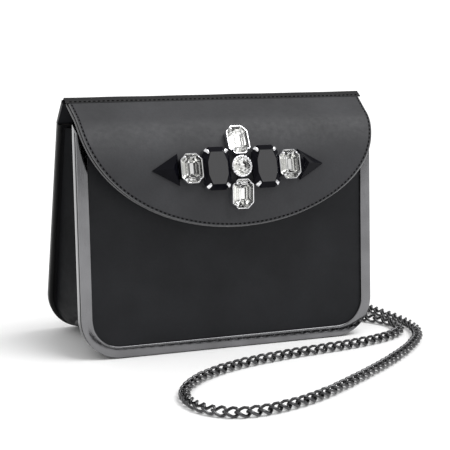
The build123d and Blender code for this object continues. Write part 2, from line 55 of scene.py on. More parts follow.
# ---- sizes that repeat the model's -----------------------
BAG_HALF_W = 100.0
FRONT_Y = -43.0
BACK_Y = 43.4
FRONT_LEAN = radians(4.44)
BACK_LEAN = radians(14.83)
FRAME_H = 141.0
FRAME_RISE = 5.5
FRAME_R = 25.0
FRAME_BAND = 7.0
FRAME_DEPTH = 9.0
FRAME_T = 1.2
PANEL_DEPTH = 1.25
BACK_HALF_W = 102.3
BACK_H = 147.5
BACK_R = 27.0
BINDING_W = 2.6
BACK_STACK = 4.2
BINDING_PROUD = 0.4
GUSSET_TOP = 140.5
GUSSET_T = 1.4
HINGE_Y = -10.5
HINGE_Z = 158.6
FLAP_OVER = 1.8
FLAP_START = 2.4
FLAP_HEADING = radians(31.0)
FLAP_RUNS = ((17.9, 0.0), (34.0 * radians(23.0), 34.0), (72.0 * radians(36.0), 72.0), (40.0, 0.0))
FLAP_LOW = 80.5
FLAP_HALF_W = 99.8
FLAP_FLARE = 1.6 / 12.2      # above its shoulder each side spreads by this much per millimetre
FLAP_SHOULDER_Z = 150.0
FLAP_LEATHER_T = 1.4
FLAP_T = 3.2
SEAM_AT = 2.5                # the flap's seam runs this far in from its edge
EDGE_ROLL = 0.45             # the outer leather dips by this at its edge
EDGE_ROLL_W = 2.4            # and starts to dip this far in
YOKE_SLOPE = np.array([-0.7402, 0.6724])      # (y, z) up the yoke towards the ridge
RIDGE_R = 2.05               # outside radius of the leather over the ridge
RIDGE_T = 0.75
RIDGE_SEAM = 1.3             # the ridge's seam runs this far in from the strip's front edge
GUSSET_OUT = 97.4            # half width over the gussets
GUSSET_R = 22.0
JEWEL_S = 56.4               # the jewels' middle, measured down the flap
JEWEL_GAP = 0.25
CRYSTAL_W, CRYSTAL_H, CRYSTAL_CUT = 13.2, 17.6, 3.4
BLACK_W, BLACK_H, BLACK_CUT = 18.0, 27.0, 4.2
BLACK_DROP = 0.7             # the black stones sit this much lower than the round one
CUP_WALL = 0.6
ROUND_R = 6.0
SPIKE_LONG, SPIKE_HALF_H, SPIKE_PEAK, SPIKE_TOP = 17.0, 10.0, 5.0, 6.5
RING_X = 62.0
TAB_T = 3.0
TAB_LOW = 112.0
TAB_HIGH = 134.0
CHAIN_D = 6.2
LAID = CHAIN_D / 2           # height of the chain's line where it lies on the floor
LINK_PITCH = 6.6
LINK_WIRE = 1.85
LINK_HALF_W = 2.75
LINK_TWIST = radians(62)
LAID_FACE = np.array([-0.22, -0.42, 0.88])     # the flat of the laid chain is turned this way
HUNG_FACE = np.array([0.0, 1.0, 0.15])         # and the flat of the hanging chain this way
FRONT_LIFT = FRAME_DEPTH * sin(FRONT_LEAN)
BACK_LIFT = (BACK_STACK + BINDING_PROUD) * sin(BACK_LEAN)

# The chain's route from the left ring round to the right ring: written in millimetres, kept in metres.
CHAIN_ROUTE = np.array([
    (-62, 25.3, 92.4), (-61.2, 31.2, 73), (-62.6, 38.5, 51), (-64, 47, 31.5), (-62.5, 54, 17.8),
    (-55.3, 58.6, 8.4), (-44, 61, LAID), (-24, 62, LAID), (6, 64.5, LAID), (34, 68, LAID),
    (62, 69.5, LAID), (89, 68.5, LAID), (108, 61, LAID), (119, 44, LAID), (124.5, 22, LAID),
    (127, 0, LAID), (132, -20, LAID), (131.5, -42, LAID), (126.5, -60, LAID), (115, -77, LAID),
    (96, -96, LAID), (70, -117, LAID), (34, -142, LAID), (6, -160, LAID), (-26, -172, LAID),
    (-51, -173, LAID), (-66, -159, LAID), (-68.5, -138, LAID), (-60.5, -119, LAID), (-41, -99.5, LAID),
    (-8, -84, LAID), (34, -75.5, LAID), (70, -71, LAID), (92, -65.5, LAID), (107, -59.5, LAID),
    (118, -51, LAID), (122.5, -38.5, LAID), (121, -26, LAID), (113.8, -16.5, LAID),
    (105, -4.5, LAID), (104, 9, LAID), (107.5, 25, LAID), (107, 39, LAID), (100.3, 51.3, LAID),
    (90.3, 59.3, LAID), (78.3, 60.8, LAID), (67.3, 58.6, 8.4), (60.3, 54.5, 17.9),
    (58.8, 48.5, 31), (60.6, 40.3, 49), (61.8, 32, 71), (62, 25.3, 92.4),
]) * MM


# ---- mesh work -------------------------------------------
def unit(vectors):
    """Each vector divided by its own length."""
    return vectors / np.linalg.norm(vectors, axis=-1, keepdims=True)


def grid_faces(rows, cols, first=0, close_rows=False, close_cols=False):
    """Quads between neighbouring points of a grid whose points are numbered row by row."""
    i = np.arange(rows if close_rows else rows - 1)[:, None]
    j = np.arange(cols if close_cols else cols - 1)[None, :]
    i2, j2 = (i + 1) % rows, (j + 1) % cols
    quads = [i * cols + j, i * cols + j2, i2 * cols + j2, i2 * cols + j]
    return (np.stack(quads, axis=-1).reshape(-1, 4) + first).tolist()


def piece(name, points, faces, materials, crease=50.0, inset=None, face_material=None):
    """A finished piece: its points in millimetres become a mesh with outward faces.
    Edges sharper than crease degrees stay sharp. inset is stored with each point for the leather."""
    mesh = bpy.data.meshes.new(name)
    mesh.from_pydata((np.asarray(points).reshape(-1, 3) * MM).tolist(), [], faces)
    for material in materials:
        mesh.materials.append(material)
    if face_material is not None:
        mesh.polygons.foreach_set("material_index", np.asarray(face_material, np.int32))
    if inset is not None:
        store = mesh.attributes.new("edge_inset", "FLOAT", "POINT")
        store.data.foreach_set("value", np.asarray(inset, np.float32).ravel())
    work = bmesh.new()
    work.from_mesh(mesh)
    bmesh.ops.remove_doubles(work, verts=work.verts, dist=1e-7)
    bmesh.ops.recalc_face_normals(work, faces=work.faces)
    work.to_mesh(mesh)
    work.free()
    mesh.shade_smooth()
    mesh.set_sharp_from_angle(angle=radians(crease))
    obj = bpy.data.objects.new(name, mesh)
    bpy.context.scene.collection.objects.link(obj)
    return obj


def repeated(faces, size, count):
    """Faces of one shape of size points, written out for count copies that follow each other."""
    return [[corner + size * i for corner in face] for i in range(count) for face in faces]


def padded(values, count):
    """Values in one row, filled up with zeros to count."""
    row = np.zeros(count)
    row[:values.size] = values.ravel()
    return row


def board(outer, inner, bulge=1.0, steps=6):
    """Points and faces of a closed sheet between two grids of one size. Its rim is half an ellipse
    carried round the grids' outline: half the thickness times the cosine, through the sheet, and
    bulge times that half times the sine, outward."""
    rows, cols = outer.shape[:2]
    index = np.arange(rows * cols).reshape(rows, cols)
    loop = np.concatenate([index[0, :-1], index[:-1, -1], index[-1, :0:-1], index[:0:-1, 0]])
    near, far = outer.reshape(-1, 3)[loop], inner.reshape(-1, 3)[loop]
    out = unit(np.cross(np.roll(near, -1, 0) - np.roll(near, 1, 0), far - near))
    out *= np.sign(np.sum(out * (near - near.mean(0))))
    middle, half = (near + far) / 2, (near - far) / 2
    reach = np.linalg.norm(half, axis=-1, keepdims=True) * bulge
    turn = (np.arange(1, steps) * pi / steps)[:, None, None]
    rim = middle + half * np.cos(turn) + out * reach * np.sin(turn)
    count, around = rows * cols, len(loop)
    faces = grid_faces(rows, cols) + grid_faces(rows, cols, count)
    rings = np.vstack([loop, 2 * count + np.arange((steps - 1) * around).reshape(-1, around), loop + count])
    following = np.roll(rings, -1, axis=1)
    quads = np.stack([rings[:-1], following[:-1], following[1:], rings[1:]], axis=-1)
    points = np.concatenate([outer.reshape(-1, 3), inner.reshape(-1, 3), rim.reshape(-1, 3)])
    return points, faces + quads.reshape(-1, 4).tolist()


def carried(profile_grid):
    """Points and faces of a closed profile carried along a line, capped at both ends. The grid
    holds one row for each corner of the profile and one column for each stop on the line."""
    rows, cols = profile_grid.shape[:2]
    faces = grid_faces(rows, cols, close_rows=True)
    ends = np.arange(rows) * cols
    return profile_grid.reshape(-1, 3), faces + [ends.tolist(), (ends + cols - 1).tolist()]


def u_line(half_w, radius, height, inset, stops=22, side_stops=10):
    """(x, z) down the left side, round both lower corners and up the right side of an upright
    panel. Each corner is a quarter circle, and everything is drawn in by inset."""
    turn = np.linspace(0, pi / 2, stops)
    r = radius - inset
    left = np.stack([radius - half_w - r * np.cos(turn), radius - r * np.sin(turn)], axis=-1)
    heights = np.linspace(height, radius, side_stops)[:-1]
    side = np.stack([np.full_like(heights, inset - half_w), heights], axis=-1)
    half = np.concatenate([side, left])
    return np.concatenate([half, half[::-1] * (-1, 1)])


def on_front(x, depth, z):
    """Points of the leaning front: depth behind its face and z up along it."""
    y = depth * cos(FRONT_LEAN) + z * sin(FRONT_LEAN) + FRONT_Y
    return np.stack(np.broadcast_arrays(x, y, z * cos(FRONT_LEAN) - depth * sin(FRONT_LEAN) + FRONT_LIFT), -1)


def on_back(x, depth, z):
    """Points of the leaning back panel: depth inside its outer face and z up along it."""
    y = -depth * cos(BACK_LEAN) - z * sin(BACK_LEAN) + BACK_Y
    return np.stack(np.broadcast_arrays(x, y, z * cos(BACK_LEAN) - depth * sin(BACK_LEAN) + BACK_LIFT), -1)


def rounded_profile(corners, radii, stops=5):
    """Corners of a closed outline, each replaced by points on an arc that touches both its sides.
    The 1e-12 keeps a direction of no length from being divided by nought."""
    corners = np.asarray(corners, float)
    before, after = unit(np.roll(corners, 1, 0) - corners), unit(np.roll(corners, -1, 0) - corners)
    points = []
    for corner, a, b, r in zip(corners, before, after, radii):
        half = np.arccos(np.clip(a @ b, -1, 1)) / 2
        centre = corner + unit(a + b) * r / sin(half)
        start, end = corner + a * r / tan(half) - centre, corner + b * r / tan(half) - centre
        share = np.linspace(0, 1, stops)[:, None]
        points.append(centre + unit(start * (1 - share) + end * share + 1e-12) * r)
    return np.concatenate(points)


def u_rail(corners, radii, half_w, radius, height, place, slope=0.0):
    """A rounded (inset, depth) profile carried down one side, under and up the other side. Its
    upper ends rise by slope for each millimetre of depth."""
    profile = rounded_profile(corners, radii)
    lines = np.stack([u_line(half_w, radius, height + slope * depth, inset) for inset, depth in profile])
    depth = profile[:, 1][:, None]
    return carried(place(lines[..., 0], depth, lines[..., 1]))


def stitch_row(name, line, normals, material, pitch=3.0, length=2.1, thick=0.8, sink=0.25):
    """Threads laid end to end along a line on a surface. A thread is an ellipse of thickness
    carried along its length: its radius is thick/2 times the fourth root of 1 - t squared, and
    its middle dips by sink times t squared, with t from -1 to 1."""
    seam = np.concatenate([[0], np.cumsum(np.linalg.norm(np.diff(line, axis=0), axis=1))])
    count = int(seam[-1] // pitch)
    middles = (np.arange(count) + 0.5) * seam[-1] / count
    centre, ahead, behind, normal = (
        np.stack([np.interp(at, seam, values[:, k]) for k in range(3)], axis=-1)
        for at, values in ((middles, line), (middles + 0.5, line), (middles - 0.5, line), (middles, normals)))
    along, normal = unit(ahead - behind), unit(normal)
    side = unit(np.cross(along, normal))
    stops, sides = 6, 6
    t = np.linspace(-0.98, 0.98, stops)[:, None]
    turn = np.linspace(0, 2 * pi, sides, endpoint=False)[None, :]
    radius = thick / 2 * (1 - t ** 2) ** 0.25
    up = radius * np.cos(turn) - sink * t ** 2
    across = radius * np.sin(turn)
    shape = [v[:, None, None, :] for v in (centre, along, normal, side)]
    t3, up3, across3 = (np.broadcast_to(v, up.shape)[None, ..., None] for v in (t * length / 2, up, across))
    points = shape[0] + shape[1] * t3 + shape[2] * up3 + shape[3] * across3
    size = stops * sides
    one = grid_faces(stops, sides, close_cols=True) + [list(range(sides)), list(range(size - sides, size))]
    return piece(name, points, repeated(one, size, count), [material], crease=180.0)


# ---- materials -------------------------------------------
class Finish:
    """A material with a Principled surface, and short ways to add and join its nodes."""

    def __init__(self, name, **values):
        self.material = bpy.data.materials.new(name)
        self.material.use_nodes = True
        self.tree = self.material.node_tree
        self.surface = self.tree.nodes["Principled BSDF"]
        for key, value in values.items():
            self.surface.inputs[key.replace("_", " ")].default_value = value
        self.place = self.node("ShaderNodeTexCoord").outputs["Object"]

    def node(self, kind, values=None, **settings):
        made = self.tree.nodes.new(kind)
        for key, value in settings.items():
            setattr(made, key, value)
        for key, value in (values or {}).items():
            if isinstance(value, bpy.types.NodeSocket):
                self.tree.links.new(value, made.inputs[key])
            else:
                made.inputs[key].default_value = value
        return made

    def noise(self, scale, detail=2.0, roughness=0.5):
        values = {"Vector": self.place, "Scale": scale, "Detail": detail, "Roughness": roughness}
        return self.node("ShaderNodeTexNoise", values).outputs["Fac"]

    def cells(self, scale, feature="F1"):
        return self.node("ShaderNodeTexVoronoi", {"Vector": self.place, "Scale": scale},
                         feature=feature).outputs["Distance"]

    def spread(self, value, low, high, to_low, to_high, smooth=False):
        """value from low..high brought to to_low..to_high."""
        values = {"Value": value, "From Min": low, "From Max": high, "To Min": to_low, "To Max": to_high}
        kind = "SMOOTHSTEP" if smooth else "LINEAR"
        return self.node("ShaderNodeMapRange", values, interpolation_type=kind).outputs["Result"]

    def maths(self, operation, a, b=0.0):
        return self.node("ShaderNodeMath", {0: a, 1: b}, operation=operation).outputs[0]

    def tint(self, share, dark, light):
        """Colour from dark to light as share goes from 0 to 1."""
        factor, colour_a, colour_b, result = 0, 6, 7, 2       # the mix node's sockets for colours
        values = {factor: share, colour_a: (*dark, 1), colour_b: (*light, 1)}
        return self.node("ShaderNodeMix", values, data_type="RGBA").outputs[result]

    def bump(self, heights):
        """Bumps on top of each other: (height, strength, distance in millimetres)."""
        normal = None
        for height, strength, distance in heights:
            values = {"Height": height, "Strength": strength, "Distance": distance * MM}
            if normal is not None:
                values["Normal"] = normal
            normal = self.node("ShaderNodeBump", values).outputs["Normal"]
        self.tree.links.new(normal, self.surface.inputs["Normal"])

    def feed(self, socket, value):
        self.tree.links.new(value, self.surface.inputs[socket])


def leather(name, dark, light, roughness, shine, grain=0.35, grain_size=0.55, seam_at=None):
    """Dyed leather: pebbled grain, soft clouding of the dye, and a pressed seam line where asked, its groove
    darkened as painted shade.
    """
    made = Finish(name, Specular_IOR_Level=shine)
    clouds = made.noise(28.0, 3.0)
    fine = made.noise(900.0, 2.0)
    pebbles = made.cells(1000.0 / grain_size)
    shade = made.maths("MULTIPLY", clouds, made.spread(fine, 0.3, 0.7, 0.85, 1.1))
    rough = made.spread(made.noise(300.0, 3.0), 0.3, 0.7, roughness - 0.05, roughness + 0.05)
    bumps = [(made.noise(60.0, 2.0), 0.25, 0.12), (fine, 0.3, 0.05), (pebbles, grain, 0.05)]
    if seam_at is not None:
        inset = made.node("ShaderNodeAttribute", attribute_name="edge_inset").outputs["Fac"]
        away = made.maths("ABSOLUTE", made.maths("SUBTRACT", inset, seam_at))
        groove = made.spread(away, 0.0, 0.75, 0.0, 1.0, smooth=True)
        # Darkening the colour by up to 0.3 along the seam is painted shade in the pressed groove; the bump
        # below is the groove itself.
        shade = made.maths("MULTIPLY", shade, made.spread(groove, 0.0, 1.0, 0.7, 1.0))
        bumps.append((groove, 0.9, 0.35))
    made.feed("Base Color", made.tint(made.spread(shade, 0.2, 0.75, 0.0, 1.0), dark, light))
    made.feed("Roughness", rough)
    made.bump(bumps)
    return made.material


def woven(name, dark, light, scale=1500.0):
    """Fine twill: crossed waves as the threads, with a napped, matt face."""
    made = Finish(name, Specular_IOR_Level=0.1, Sheen_Weight=0.02, Sheen_Roughness=0.5)
    waves = [made.node("ShaderNodeTexWave", {"Vector": made.place, "Scale": scale / 4, "Distortion": 0.6},
                       wave_type="BANDS", bands_direction=way).outputs["Fac"] for way in ("DIAGONAL", "Z")]
    weave = made.maths("MULTIPLY", waves[0], waves[1])
    shade = made.maths("MULTIPLY", weave, made.noise(40.0, 3.0))
    made.feed("Base Color", made.tint(shade, dark, light))
    made.feed("Roughness", made.spread(weave, 0.0, 1.0, 0.95, 0.8))
    made.bump([(weave, 0.6, 0.08)])
    return made.material


def metal(name, dark, light, roughness, brushed=0.0):
    """Plated metal: faint clouds in the plating, hairline polish marks and tiny pits."""
    made = Finish(name, Metallic=1.0)
    clouds = made.noise(45.0, 3.0)
    hairs = made.node("ShaderNodeMapping", {"Vector": made.place, "Scale": (1.0, 1.0, 0.04)}).outputs[0]
    lines = made.node("ShaderNodeTexNoise", {"Vector": hairs, "Scale": 2500.0, "Detail": 2.0}).outputs["Fac"]
    made.feed("Base Color", made.tint(made.spread(clouds, 0.3, 0.7, 0.0, 1.0), dark, light))
    made.feed("Roughness", made.spread(lines, 0.3, 0.7, roughness - 0.03, roughness + 0.04))
    made.bump([(lines, 0.05 + brushed, 0.01), (made.noise(160.0, 1.0), 0.12, 0.03)])
    return made.material


def glass(name):
    """Clear cut crystal."""
    made = Finish(name, Transmission_Weight=1.0, IOR=1.6, Specular_IOR_Level=0.5)
    made.feed("Base Color", made.tint(made.noise(120.0, 1.0), (0.97, 0.98, 1.0), (1.0, 1.0, 1.0)))
    made.feed("Roughness", made.spread(made.noise(700.0, 2.0), 0.4, 0.8, 0.0, 0.02))
    return made.material


def jet(name, shine):
    """Opaque black cut glass with faint polish haze."""
    made = Finish(name, IOR=1.75, Specular_IOR_Level=shine)
    dark, light = (0.002, 0.002, 0.0032), (0.005, 0.005, 0.0078)
    made.feed("Base Color", made.tint(made.noise(90.0, 2.0), dark, light))
    made.feed("Roughness", made.spread(made.noise(420.0, 3.0), 0.3, 0.8, 0.03, 0.09))
    return made.material


def fibre_board(name):
    """Pressed fibre board: mottled grey-brown with short fibres."""
    made = Finish(name)
    fibres = made.node("ShaderNodeMapping", {"Vector": made.place, "Scale": (0.2, 1.0, 1.0)}).outputs[0]
    grain = {"Vector": fibres, "Scale": 1400.0, "Detail": 4.0}
    flecks = made.node("ShaderNodeTexNoise", grain).outputs["Fac"]
    made.feed("Base Color", made.tint(flecks, (0.16, 0.14, 0.12), (0.3, 0.27, 0.23)))
    made.feed("Roughness", made.spread(flecks, 0.2, 0.8, 0.75, 0.95))
    made.bump([(flecks, 0.4, 0.06)])
    return made.material


PANEL_LEATHER = leather("panel_leather", (0.0055, 0.0058, 0.0072), (0.0135, 0.0143, 0.0165), 0.5, 0.2, 0.18)
FLAP_LEATHER = leather("flap_leather", (0.0185, 0.0188, 0.0208), (0.0385, 0.0392, 0.043),
                       0.52, 0.28, 0.3, 0.5, SEAM_AT)
RIDGE_LEATHER = leather("ridge_leather", (0.004, 0.004, 0.0045), (0.011, 0.011, 0.012),
                        0.42, 0.16, 0.3, 0.5, RIDGE_SEAM)
GUSSET_LEATHER = leather("gusset_leather", (0.002, 0.0022, 0.0027), (0.006, 0.0065, 0.008),
                         0.5, 0.08, 0.35, 0.6)
# Leather edge paint, lightened well above the leather to paint the highlight of the polished edge.
EDGE_PAINT_AND_HIGHLIGHT = leather("edge_paint_and_highlight", (0.06, 0.06, 0.062), (0.1, 0.1, 0.103), 0.3, 0.6, 0.1, 0.5)
EDGE_LEATHER = leather("edge_leather", (0.004, 0.004, 0.004), (0.011, 0.011, 0.0115), 0.45, 0.25, 0.3, 0.6)
UNDER_LEATHER = leather("under_leather", (0.001, 0.001, 0.001), (0.003, 0.003, 0.003), 0.55, 0.1, 0.25, 0.6)
LINING = woven("lining", (0.004, 0.004, 0.0045), (0.022, 0.022, 0.024))
BOARD = fibre_board("board")
GUNMETAL = metal("gunmetal", (0.16, 0.16, 0.165), (0.21, 0.21, 0.217), 0.09)
CHAIN_METAL = metal("chain_metal", (0.07, 0.07, 0.072), (0.11, 0.11, 0.113), 0.1)
FITTING_METAL = metal("fitting_metal", (0.2, 0.2, 0.21), (0.3, 0.3, 0.31), 0.2)
SILVER = metal("silver", (0.72, 0.72, 0.74), (0.88, 0.88, 0.9), 0.1)
FOIL = metal("foil", (0.93, 0.93, 0.9), (0.99, 0.99, 0.96), 0.06)
# Dark foil behind alternate bands of a stone: painted dark reflections of its facets.
PAINTED_DARK_FACETS = metal("painted_dark_facets", (0.08, 0.08, 0.08), (0.14, 0.14, 0.14), 0.2)
CRYSTAL = glass("crystal")
JET = jet("jet", 0.7)
JET_SIDE = jet("jet_side", 0.03)
THREAD = woven("thread", (0.0008, 0.0008, 0.0008), (0.004, 0.004, 0.0042), 5000.0)


# ---- camera and chain ------------------------------------
def camera():
    """Long lens from the front left, a little above the bag."""
    yaw, pitch, roll = radians(21.779), radians(10.452), radians(0.499)
    stand = (-0.3018, -0.782, 0.2276)
    ahead = Vector((sin(yaw) * cos(pitch), cos(yaw) * cos(pitch), -sin(pitch)))
    level = Vector((cos(yaw), -sin(yaw), 0))
    up = level.cross(ahead)
    right = level * cos(roll) + up * sin(roll)
    above = up * cos(roll) - level * sin(roll)
    lens = bpy.data.cameras.new("camera")
    lens.lens, lens.sensor_width = 102.4, 36.0
    lens.clip_start, lens.clip_end = 0.05, 100.0
    view = bpy.data.objects.new("camera", lens)
    turn = Matrix((right, above, -ahead)).transposed().to_4x4()
    view.matrix_world = Matrix.Translation(stand) @ turn
    bpy.context.scene.collection.objects.link(view)
    bpy.context.scene.camera = view


def chain_line():
    """Points along the chain's smooth line: a NURBS spline through the route."""
    curve = bpy.data.curves.new("chain_route", "CURVE")
    curve.dimensions = "3D"
    spline = curve.splines.new("NURBS")
    spline.points.add(len(CHAIN_ROUTE) - 1)
    for point, place in zip(spline.points, CHAIN_ROUTE):
        point.co = (*place, 1.0)
    spline.order_u = 3
    spline.use_endpoint_u = True
    spline.resolution_u = 12
    holder = bpy.data.objects.new("chain_route", curve)
    bpy.context.scene.collection.objects.link(holder)
    mesh = bpy.data.meshes.new_from_object(holder)
    points = np.array([v.co for v in mesh.vertices], float)
    bpy.data.objects.remove(holder)
    bpy.data.meshes.remove(mesh)
    return points


def chain_strap():
    """Curb links one after another on the chain's line. A link is an oval, a cos t along the chain
    and b sin t across it, turned about the chain by the twist times cos t, with round wire on it.
    Each link also rolls a little and sits a little to one side, by chance."""
    lifted, turned_over = 8.0, 30.0         # above this height the links turn to hang, over this rise
    loose_roll, loose_shift = radians(7), 0.12
    line = chain_line()
    path = line / MM
    run = np.concatenate([[0], np.cumsum(np.linalg.norm(np.diff(path, axis=0), axis=1))])
    count = round(run[-1] / LINK_PITCH)
    pitch = run[-1] / count
    at = (np.arange(count) + 0.5) * pitch

    def spot(where):
        return np.stack([np.interp(where, run, path[:, k]) for k in range(3)], axis=-1)

    centre = spot(at)
    along = unit(spot(at + pitch / 2) - spot(at - pitch / 2))
    hang = np.clip((centre[:, 2:] - lifted) / turned_over, 0, 1)
    facing = LAID_FACE * (1 - hang) + HUNG_FACE * hang
    up = unit(facing - np.sum(facing * along, axis=1, keepdims=True) * along)
    side = np.cross(up, along)
    loose = np.random.default_rng(7).uniform(-1, 1, (count, 2))
    roll = loose_roll * loose[:, :1]
    up, side = up * np.cos(roll) + side * np.sin(roll), side * np.cos(roll) - up * np.sin(roll)
    centre += side * loose_shift * loose[:, 1:]

    stops, sides = 14, 6
    t = np.linspace(0, 2 * pi, stops, endpoint=False)
    half_long = (pitch + LINK_WIRE) / 2
    turn = LINK_TWIST * np.cos(t)
    oval = np.stack([half_long * np.cos(t), LINK_HALF_W * np.sin(t) * np.cos(turn),
                     LINK_HALF_W * np.sin(t) * np.sin(turn)], axis=-1)
    ahead = unit(np.roll(oval, -1, 0) - np.roll(oval, 1, 0))
    out = unit(oval - np.sum(oval * ahead, axis=1, keepdims=True) * ahead)
    aside = np.cross(ahead, out)
    around = np.linspace(0, 2 * pi, sides, endpoint=False)
    wire = LINK_WIRE / 2 * (out[:, None] * np.cos(around)[None, :, None]
                            + aside[:, None] * np.sin(around)[None, :, None])
    link = oval[:, None] + wire
    axes = np.stack([along, side, up], axis=1)
    points = centre[:, None, None, :] + np.einsum("tak,nkc->ntac", link, axes)
    one = grid_faces(stops, sides, close_rows=True, close_cols=True)
    links = piece("chain_links", points, repeated(one, stops * sides, count), [CHAIN_METAL], crease=180.0)
    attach(links, "shell")
    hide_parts("chain_strap")


camera()
chain_strap()


# ---- flap ------------------------------------------------
def flap_spot(s, depth=0.0):
    """y, z and heading at distance s down the flap's section, depth inside its outer face. The
    section is a straight, two arcs and a straight, and each arc moves on by its chord."""
    s = np.asarray(s, float)
    heading = np.full_like(s, FLAP_HEADING)
    y = HINGE_Y - FLAP_OVER * np.sin(heading) - FLAP_START * np.cos(heading)
    z = HINGE_Z + FLAP_OVER * np.cos(heading) - FLAP_START * np.sin(heading)
    done = 0.0
    for length, radius in FLAP_RUNS:
        run = np.clip(s - done, 0, length)
        turn = run / radius if radius else np.zeros_like(run)
        chord = 2 * radius * np.sin(turn / 2) if radius else run
        y = y - chord * np.cos(heading + turn / 2)
        z = z - chord * np.sin(heading + turn / 2)
        heading = heading + turn
        done += length
    return y + depth * np.sin(heading), z - depth * np.cos(heading), heading


S_TABLE = np.linspace(0, sum(length for length, _ in FLAP_RUNS), 1200)
Z_TABLE = flap_spot(S_TABLE)[1]


def s_at(z):
    """Distance down the flap at which its outer face is at height z."""
    return np.interp(-np.asarray(z), -Z_TABLE, S_TABLE)


def flap_half_w(z):
    """Half the flap's width at height z: even up to the shoulder, and flared above it."""
    return FLAP_HALF_W + FLAP_FLARE * np.clip(z - FLAP_SHOULDER_Z, 0, None)


def flap_inset(x, z):
    """Distance in from the flap's outline: from the flared side above the shoulder, and from
    the ellipse below it, where it is 1 - f over the steepness of f = hypot(x/w, drop/h)."""
    drop = np.clip(FLAP_SHOULDER_Z - z, 0, None)
    high = FLAP_SHOULDER_Z - FLAP_LOW
    f = np.hypot(x / FLAP_HALF_W, drop / high)
    steep = np.hypot(x / FLAP_HALF_W ** 2, drop / high ** 2) / np.maximum(f, 1e-6)
    return np.where(z > FLAP_SHOULDER_Z, flap_half_w(z) - np.abs(x), (1 - f) / np.maximum(steep, 1e-6))


def flap_grid(depth, draw_in, top=0.0):
    """Grid on a layer of the flap: columns at w sin(angle) across, and rows from the ridge down
    to the outline, half an ellipse below the shoulder. Near its edge the outer leather dips by the
    edge roll times the square of 1 minus the inset over the roll's width."""
    angle = np.linspace(-pi / 2, pi / 2, 141)[None, :]
    share = np.concatenate([[0, 0.004], np.linspace(0.02, 0.9, 44),
                            [0.93, 0.95, 0.965, 0.975, 0.985, 0.993, 1]])
    high = FLAP_SHOULDER_Z - FLAP_LOW - draw_in
    s_low = s_at(FLAP_SHOULDER_Z - high * np.cos(angle))
    s = top + share[:, None] * (s_low - top)
    y, z, heading = flap_spot(s)
    half = flap_half_w(z) - draw_in
    x = half * np.sin(angle)
    inset = flap_inset(x, z)
    sink = depth + EDGE_ROLL * np.clip(1 - inset / EDGE_ROLL_W, 0, 1) ** 2 * (depth < 1.0)
    return np.stack([x, y + sink * np.sin(heading), z - sink * np.cos(heading)], axis=-1), inset


def flap():
    """Two leather layers with rounded edges, whose light edge paint is partly a painted highlight, and the
    seam that holds them together.
    """
    draw_in, top_gap = 1.5, 0.3
    outer, inset = flap_grid(0.0, draw_in, top_gap)
    inner, _ = flap_grid(FLAP_LEATHER_T - 0.05, draw_in, top_gap)
    points, faces = board(outer, inner, 0.9)
    insets = padded(inset, len(points))
    # The rim faces of both layers take the lightened edge paint: real edge paint with a painted highlight.
    rim = np.arange(len(faces)) >= 2 * (outer.shape[0] - 1) * (outer.shape[1] - 1)
    top = piece("flap_top_leather", points, faces, [FLAP_LEATHER, EDGE_PAINT_AND_HIGHLIGHT], 50.0, insets, rim)
    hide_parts("flap_leather", "flap_board")
    draw_in, top_gap = 0.75, 0.5
    under_outer, _ = flap_grid(FLAP_LEATHER_T + 0.25, draw_in, top_gap)
    under_inner, _ = flap_grid(FLAP_T, draw_in, top_gap)
    points, faces = board(under_outer, under_inner, 0.8)
    under = piece("flap_under_leather", points, faces, [EDGE_LEATHER, EDGE_PAINT_AND_HIGHLIGHT], 50.0, None, rim)
    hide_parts("flap_lining")
    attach(top, "flap")
    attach(under, "flap")
    seam = stitch_row("flap_stitches", *flap_seam(), THREAD)
    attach(seam, "flap")


def flap_seam():
    """Line and surface normals of the flap's seam: down one side, round the ellipse and up."""
    high = FLAP_SHOULDER_Z - FLAP_LOW - SEAM_AT
    angle = np.linspace(-pi / 2, pi / 2, 300)
    x = (FLAP_HALF_W - SEAM_AT) * np.sin(angle)
    z = FLAP_SHOULDER_Z - high * np.cos(angle)
    start_s, proud = 3.4, 0.02
    rise = np.linspace(flap_spot(start_s)[1], FLAP_SHOULDER_Z, 20)[:-1]
    side = flap_half_w(rise) - SEAM_AT
    x = np.concatenate([-side, x, side[::-1]])
    z = np.concatenate([rise, z, rise[::-1]])
    y, z, heading = flap_spot(s_at(z), -proud)
    normals = np.stack([np.zeros_like(heading), -np.sin(heading), np.cos(heading)], axis=-1)
    return np.stack([x, y, z], axis=-1), normals


def ridge_waver(x):
    """Unevenness along the ridge: a tenth of a millimetre times two slow sines of x."""
    return 0.10 * np.sin(x / 9.0) * np.sin(x / 23.0 + 1.0)


